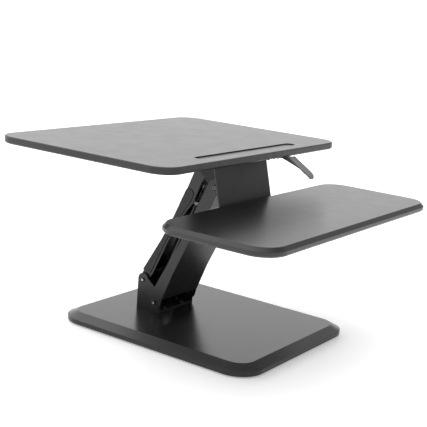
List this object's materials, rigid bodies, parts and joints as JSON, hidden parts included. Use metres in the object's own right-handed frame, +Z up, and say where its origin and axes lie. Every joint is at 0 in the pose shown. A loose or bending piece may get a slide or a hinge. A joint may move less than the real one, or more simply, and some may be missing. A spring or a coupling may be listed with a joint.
{
  "type": "standing desk converter",
  "caption": "Gas-sprung desk converter with a base plate, a parallelogram lift arm, a wide platform with a tablet groove and a hung keyboard tray with a squeeze release.",
  "frame": {"origin": "on the desk, under the middle of the base plate", "axes": "+X to the user's right, +Y away from the user, +Z up; the arm and panels are symmetric about x = 0, and only the release lever and its cable are on the right"},
  "size_m": [0.68, 0.693, 0.4104],
  "materials": {
    "base_plate": "satin black powder coat on steel",
    "rubber_feet": "matte",
    "base_bracket": "satin black powder coat on steel sheet",
    "base_bracket_screws": "black zinc",
    "front_link": "satin black powder coat on steel sheet",
    "rear_link": "satin black powder coat on steel sheet",
    "rear_link_cover": "satin black paint on thin sheet",
    "rear_cover_screws": "zinc plated",
    "lower_front_pivot_bolts": "black zinc",
    "lower_rear_pivot_bolts": "black zinc",
    "lower_pivot_nuts": "zinc plated",
    "lower_pivot_washers": "black nylon",
    "upper_front_pivot_bolts": "black zinc",
    "upper_rear_pivot_bolts": "black zinc",
    "upper_pivot_nuts": "zinc plated",
    "upper_pivot_washers": "black nylon",
    "gas_cylinder": "gloss black",
    "gas_seal_cap": "white guide bush",
    "gas_lower_eye": "zinc plated",
    "gas_lower_pin": "bright",
    "gas_clevis": "satin black powder coat",
    "gas_rod": "polished",
    "release_head": "die cast, dark",
    "gas_upper_pin": "bright",
    "gas_hanger": "satin black powder coat",
    "valve_trigger": "zinc plated",
    "trigger_pin": "bright",
    "upper_bracket": "satin black powder coat on steel sheet",
    "upper_bracket_screws": "zinc plated",
    "top_platform": "fibreboard with a satin black laminate",
    "platform_edge_trim": "satin black edge band",
    "tray_hanger": "satin black powder coat on steel sheet",
    "hanger_screws": "zinc plated",
    "keyboard_tray": "fibreboard with a satin black laminate",
    "tray_screws": "zinc plated",
    "lever_bracket": "satin black powder coat on steel sheet",
    "lever_bracket_screws": "zinc plated",
    "release_lever": "satin dark grey",
    "lever_pivot_pin": "bright",
    "lever_return_spring": "spring wire",
    "release_cable": "black sheath",
    "cable_grommets": "matte",
    "cable_clips": "black nylon"
  },
  "bodies": {
    "base": {"base_plate": "base_plate", "rubber_feet": "rubber_feet", "base_bracket": "base_bracket", "base_bracket_screws": "base_bracket_screws", "lower_front_pivot_bolts": "lower_front_pivot_bolts", "lower_rear_pivot_bolts": "lower_rear_pivot_bolts", "lower_pivot_nuts": "lower_pivot_nuts", "lower_pivot_washers": "lower_pivot_washers", "gas_clevis": "gas_clevis", "gas_lower_pin": "gas_lower_pin"},
    "front_arm": {"front_link": "front_link"},
    "rear_arm": {"rear_link": "rear_link", "rear_link_cover": "rear_link_cover", "rear_cover_screws": "rear_cover_screws"},
    "top": {"upper_front_pivot_bolts": "upper_front_pivot_bolts", "upper_rear_pivot_bolts": "upper_rear_pivot_bolts", "upper_pivot_nuts": "upper_pivot_nuts", "upper_pivot_washers": "upper_pivot_washers", "upper_bracket": "upper_bracket", "upper_bracket_screws": "upper_bracket_screws", "top_platform": "top_platform", "platform_edge_trim": "platform_edge_trim", "tray_hanger": "tray_hanger", "hanger_screws": "hanger_screws", "keyboard_tray": "keyboard_tray", "tray_screws": "tray_screws", "lever_bracket": "lever_bracket", "lever_bracket_screws": "lever_bracket_screws", "lever_pivot_pin": "lever_pivot_pin", "lever_return_spring": "lever_return_spring", "release_cable": "release_cable", "cable_grommets": "cable_grommets", "cable_clips": "cable_clips", "gas_hanger": "gas_hanger", "gas_upper_pin": "gas_upper_pin"},
    "gas_tube": {"gas_cylinder": "gas_cylinder", "gas_seal_cap": "gas_seal_cap", "gas_lower_eye": "gas_lower_eye"},
    "gas_piston": {"gas_rod": "gas_rod", "release_head": "release_head", "trigger_pin": "trigger_pin"},
    "trigger": {"valve_trigger": "valve_trigger"},
    "lever": {"release_lever": "release_lever"}
  },
  "joints": [
    {"name": "arm_lift", "type": "hinge", "parent": "base", "child": "front_arm", "pos_m": [0, 0.096, 0.046], "axis": [-1, 0, 0], "range_deg": [-57, 6]},
    {"name": "rear_arm_swing", "type": "hinge", "parent": "base", "child": "rear_arm", "pos_m": [0, 0.135, 0.089], "axis": [-1, 0, 0], "range_deg": [-57.5, 6.5]},
    {"name": "top_level", "type": "hinge", "parent": "front_arm", "child": "top", "pos_m": [0, -0.0445, 0.333], "axis": [-1, 0, 0], "range_deg": [-6.5, 57.5]},
    {"name": "gas_swing", "type": "hinge", "parent": "base", "child": "gas_tube", "pos_m": [0, 0.122, 0.048], "axis": [-1, 0, 0], "range_deg": [-57.6, 6.5]},
    {"name": "gas_extend", "type": "slide", "parent": "gas_tube", "child": "gas_piston", "axis": [0, -0.3714, 0.9285], "range_m": [-0.0252, 0.0032]},
    {"name": "lever_squeeze", "type": "hinge", "parent": "top", "child": "lever", "pos_m": [0.11, -0.084, 0.3898], "axis": [-1, 0, 0], "range_deg": [0, 5], "stiffness_Nm_per_rad": 0.4},
    {"name": "trigger_press", "type": "hinge", "parent": "gas_piston", "child": "trigger", "pos_m": [0, 0.00297, 0.33265], "axis": [-1, 0, 0], "range_deg": [-0.5, 10.5]}
  ],
  "couplings": [
    {"joint": "rear_arm_swing", "follows": "arm_lift", "ratio": 1},
    {"joint": "top_level", "follows": "arm_lift", "ratio": -1},
    {"joint": "gas_swing", "follows": "arm_lift", "ratio": 1.0015},
    {"joint": "gas_extend", "follows": "arm_lift", "m_per_rad": 0.024779},
    {"joint": "trigger_press", "follows": "lever_squeeze", "ratio": 2}
  ]
}
